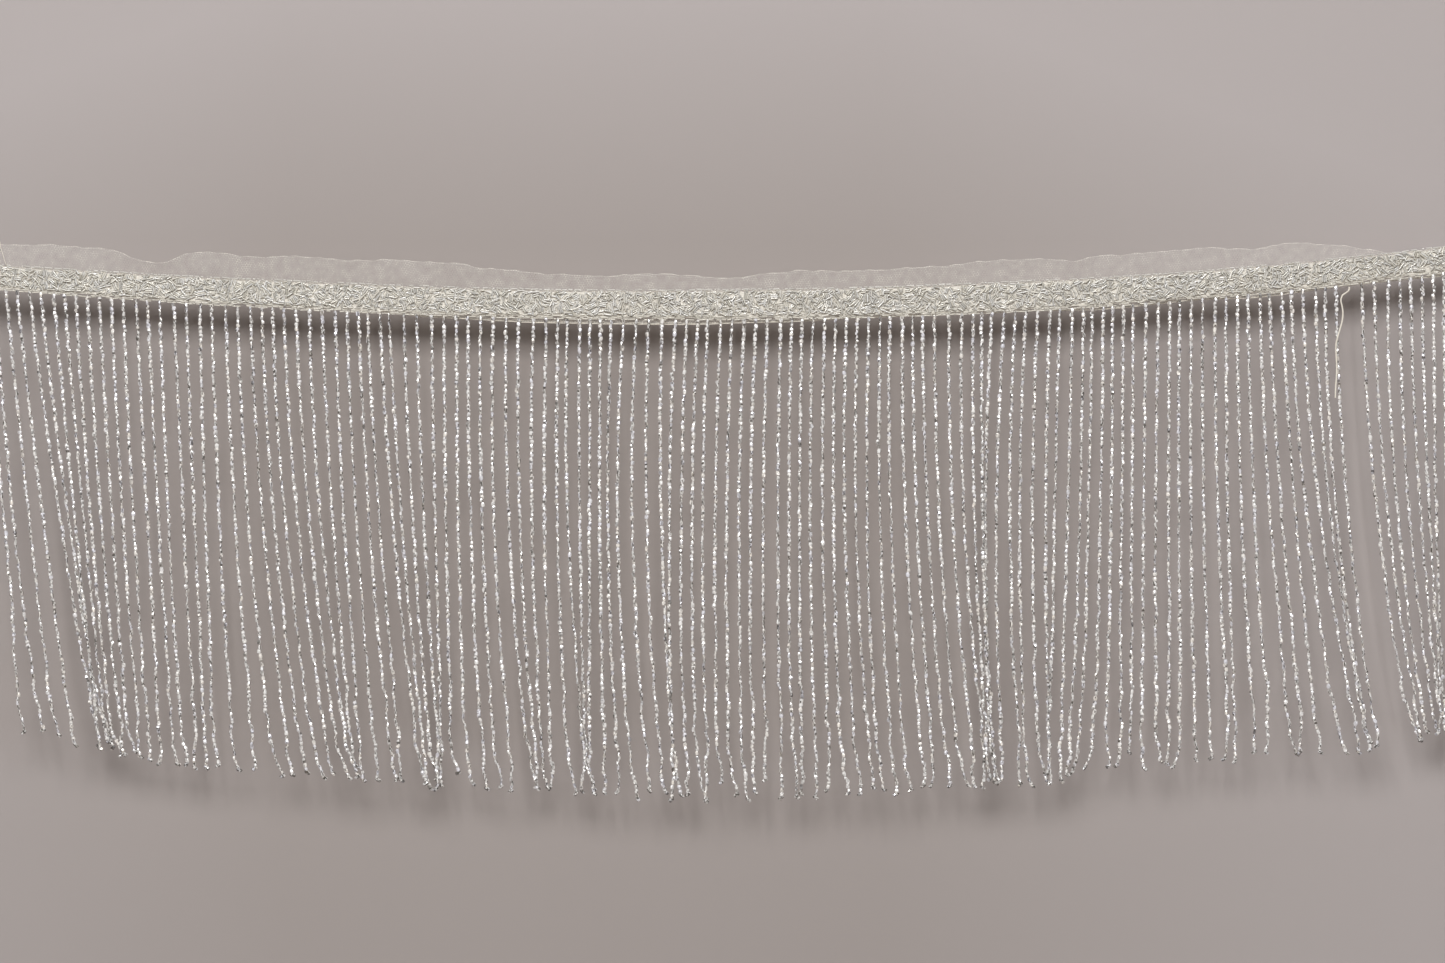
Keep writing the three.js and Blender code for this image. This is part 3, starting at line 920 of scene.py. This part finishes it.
# The stitches on the back
# The sewing thread that holds the strands and the edge rows runs along the back of the net in
# three lines of long stitches. At the left a fine end of it stands up from the band.
stitch_table = (               # edge, how far inside it, stitch length
    (band_low, 0.0009, 0.0061),
    (band_high, -0.0010, 0.0044),
    (band_low, 0.0062, 0.0087),
)
stitch_radius = 0.00018
stitch_rings = 9
stitch_evenness = (0.8, 1.1)
stitch_lean = 0.0004
stitch_back = 0.00012          # how far the thread stands off behind the net
stitch_arch = 0.0001
stitch_dip = 0.0010            # where it goes in and out of the net
stitch_ends = (0.0003, 0.0009)
stitch_start = 0.003
stitch_stop = 0.002
stray_end = [                  # place along the trim, depth, height
    (-0.3575, 0.0044, 0.0058),
    (-0.3584, 0.0049, 0.0078),
    (-0.3592, 0.0052, 0.0110),
    (-0.3604, 0.0048, 0.0146),
    (-0.3612, 0.0040, 0.0182),
    (-0.3618, 0.0034, 0.0205),
]
stitch_depths = np.array([
    stitch_dip, -stitch_back, -stitch_back - stitch_arch, -stitch_back, stitch_dip
])


def sew(name, lines, radii, replaced):
    """Fine threads along lines, each of its own radius, as one piece."""
    all_points = []
    all_faces = []
    for line, radius in zip(lines, radii):
        thickness = np.full((len(line), 4), radius)
        points, faces = tube(line, thickness, 4, sum(len(part) for part in all_points))
        all_points.append(points)
        all_faces.extend(faces)
    sewn = add_piece(name, np.vstack(all_points), all_faces, thread_finish, replaced)
    sewn.data.shade_smooth()


stitches = []
for edge, inside, length in stitch_table:
    x = places[0] + stitch_start
    while x < places[-1] - length - stitch_stop:
        long = length * rng.uniform(*stitch_evenness)
        near, far = stitch_ends
        along = np.array([x + near, x + far, x + long / 2, x + long - far, x + long - near])
        lean = rng.uniform(-stitch_lean, stitch_lean)
        height = line_at(edge, along) + inside + lean * np.linspace(-1, 1, len(along))
        behind = -(stitch_depths + line_at(wave, along))
        stitches.append(spaced(np.column_stack([along, behind, height]), stitch_rings))
        x += long
stray = np.array([(x, -(depth + line_at(wave, [x])[0]), z) for x, depth, z in stray_end])
stitches.append(spaced(stray, stitch_rings))
sew("back_stitches", stitches, [stitch_radius] * len(stitches), "bead_band")

# The hem's running thread
# A fine ivory thread runs along the fold of the hem, drawn through the net every few holes, and
# a second one wanders above it.
hem_threads = (                # how far above the fold, how far it wanders, radius
    (0.00022, 0.00006, 0.00019),
    (0.00085, 0.0003, 0.00012),
)
hem_thread_rings = 620
hem_thread_end = 0.001
hem_thread_proud = 0.00012     # how far it stands in front of the net
hem_thread_sway = 0.00006
hem_wander_lengths = (0.0073, 0.019, 0.041)
hem_sway_lengths = (0.0029, 0.0047)
hem_x = np.linspace(places[0] + hem_thread_end, places[-1] - hem_thread_end, hem_thread_rings)
hem_lines = []
for above, wander, radius in hem_threads:
    height = line_at(hem_fold, hem_x) + fold_rise + above
    height = height + wander * ripple(hem_x, hem_wander_lengths, rng)
    depth = net_front + hem_thread_proud
    depth = depth + hem_thread_sway * ripple(hem_x, hem_sway_lengths, rng)
    hem_lines.append(np.column_stack([hem_x, -(depth + line_at(wave, hem_x)), height]))
sew("hem_threads", hem_lines, [radius for above, wander, radius in hem_threads], "net_strip")

# The backdrop and the floor
# The trim hangs an inch in front of a plain paper backdrop, over a plain floor of the same paper.
# Painted light makes the paper a little paler towards the top and the sides, and a painted
# shadow makes it a shade darker behind the strands. It is see-through from behind.
backdrop_gap = 0.0235
backdrop_height = 0.2
backdrop_size = (3.2, 2.4, 1)
floor_place = (0, -1.2, -1.0)
floor_size = (3.2, 2.5, 1)
painted_light_shift = 0.07            # how far left of the middle the painted light is least, and the paper darkest
stage_finish = Finish("pale_paper_with_painted_light_and_shade")
paper_place = stage_finish.node("SeparateXYZ", {}, {"Vector": stage_finish.place()})
height = paper_place.part("Z")
aside = abs(paper_place + painted_light_shift)
# Painted light: the paper is painted paler towards the top and the sides, and above and below the
# strands, which leaves a painted shadow of the strands behind them.
painted_light_at_top = stage_finish.ramp(height, 0.02, 0.15, 0.0, 0.8)
painted_light_at_sides = stage_finish.ramp(aside, 0.15, 0.42, 0.0, 0.6)
painted_light_above_strands = stage_finish.ramp(height, -0.045, -0.015, 0.0, 0.22)
painted_light_below_strands = stage_finish.ramp(height, -0.25, -0.22, 0.22, 0.0)
painted_light = painted_light_at_top + painted_light_at_sides + painted_light_above_strands + painted_light_below_strands
paper = stage_finish.noise(3.0, 4.0)
even = stage_finish.mix(paper, colour(151, 143, 139), colour(155, 147, 143))
paper_shader = stage_finish.node("BsdfPrincipled", {}, {
    "Base Color": stage_finish.mix(painted_light, even, colour(173, 166, 165)),
    "Roughness": 0.9,
})
back_face = stage_finish.node("NewGeometry", {}, {}, output=6)
see_through = stage_finish.node("BsdfTransparent")
both = stage_finish.node("MixShader", {}, {0: back_face, 1: paper_shader, 2: see_through})
stage_finish.node("OutputMaterial", {}, {"Surface": both})


def lay_paper(name, place, turn, size):
    """A flat sheet of paper, its place and size in its mesh."""
    bpy.ops.object.select_all(action="DESELECT")
    bpy.ops.mesh.primitive_grid_add(
        x_subdivisions=8, y_subdivisions=8, size=1, location=place, rotation=turn
    )
    laid = bpy.context.object
    laid.name = name
    laid.scale = size
    bpy.ops.object.transform_apply(location=True, rotation=True, scale=True)
    laid.data.materials.append(stage_finish.material)
    return laid


backdrop = lay_paper(
    "backdrop", (0, backdrop_gap, backdrop_height), (math.pi / 2, 0, 0), backdrop_size
)
backdrop.visible_shadow = False
floor = lay_paper("floor", floor_place, (0, 0, 0), floor_size)

# The light
# One wide soft light stands above and in front, so that the band's shadow falls just below it on
# the paper. A faint warm light fills from the front, two tall narrow ones at the sides give the
# glass its sparkle, and one lights the back. The room's walls show from behind and the sides.
lights = [                     # name, place, width, height, power, colour
    ("key", (-0.2, -2.4, 1.26), 1.6, 1.0, 78.5, (1.0, 1.0, 1.0)),
    ("front", (0.1, -3.1, -0.3), 1.0, 0.7, 3.0, (1.0, 0.80, 0.58)),
    ("left_strip", (-1.5, -1.5, 0.0), 0.05, 1.3, 2.5, (1.0, 1.0, 1.0)),
    ("right_strip", (1.5, -1.5, 0.0), 0.05, 1.3, 2.5, (1.0, 1.0, 1.0)),
    ("back_soft", (0.5, 1.9, 0.9), 1.2, 1.0, 25.0, (1.0, 1.0, 1.0)),
]
light_aim = Vector((0, 0, -0.1))
room_light = (0.030, 0.0228, 0.0135, 1.0)
wall_colour = colour(108, 101, 98)
for name, place, width, height, power, warmth in lights:
    bpy.ops.object.light_add(type="AREA", location=place)
    lamp = bpy.context.object
    lamp.name = name
    lamp.data.shape = "RECTANGLE"
    lamp.data.size = width
    lamp.data.size_y = height
    lamp.data.energy = power
    lamp.data.color = warmth
    lamp.rotation_euler = (light_aim - Vector(place)).to_track_quat("-Z", "Y").to_euler()
world = bpy.data.worlds.new("soft_room")
world.use_nodes = True
room = world.node_tree.nodes
join = world.node_tree.links.new
room["Background"].inputs["Color"].default_value = room_light
walls = room.new("ShaderNodeBackground")
walls.inputs["Color"].default_value = wall_colour
seen = room.new("ShaderNodeMixShader")
join(room.new("ShaderNodeLightPath").outputs["Is Camera Ray"], seen.inputs[0])
join(room["Background"].outputs[0], seen.inputs[1])
join(walls.outputs[0], seen.inputs[2])
join(seen.outputs[0], room["World Output"].inputs["Surface"])
bpy.context.scene.world = world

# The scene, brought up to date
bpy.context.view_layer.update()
